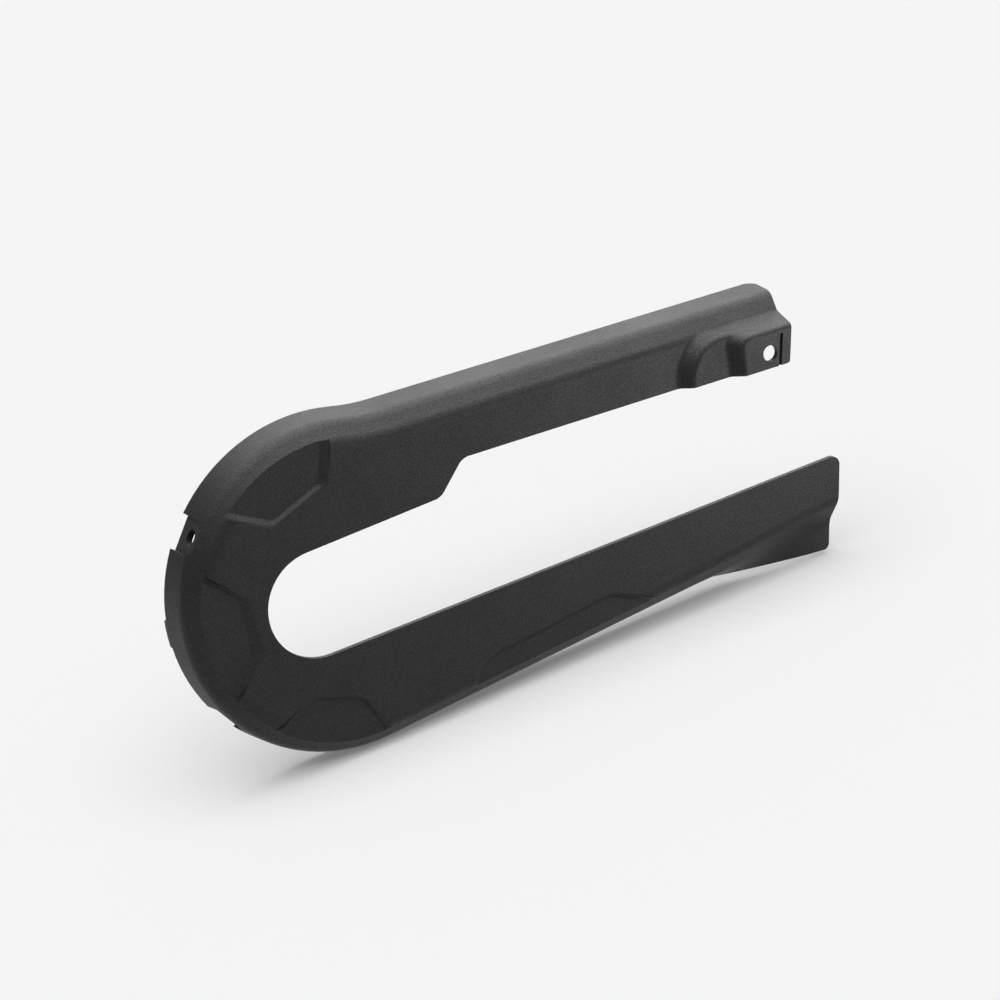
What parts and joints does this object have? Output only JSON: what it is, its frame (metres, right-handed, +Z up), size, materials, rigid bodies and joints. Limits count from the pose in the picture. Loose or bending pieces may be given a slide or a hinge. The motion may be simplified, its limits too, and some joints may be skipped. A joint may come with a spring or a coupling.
{
  "type": "motorcycle chain guard",
  "caption": "Moulded chain guard: a round shell over the rear sprocket whose arms follow the chain's runs, with a long open slot, recessed face panels and a stepped bolt tab.",
  "frame": {"origin": "on the sprocket's axis, in the plane of the guard's flat outer face", "axes": "+X from the sprocket to the open front end along the slot, +Y from the outer face into the chain's channel, towards the wheel, +Z up"},
  "size_m": [0.3961, 0.045, 0.1853],
  "materials": {
    "shell": "fine moulded grain, matte black"
  },
  "bodies": {
    "root": {"chain_guard": "shell"}
  },
  "joints": []
}
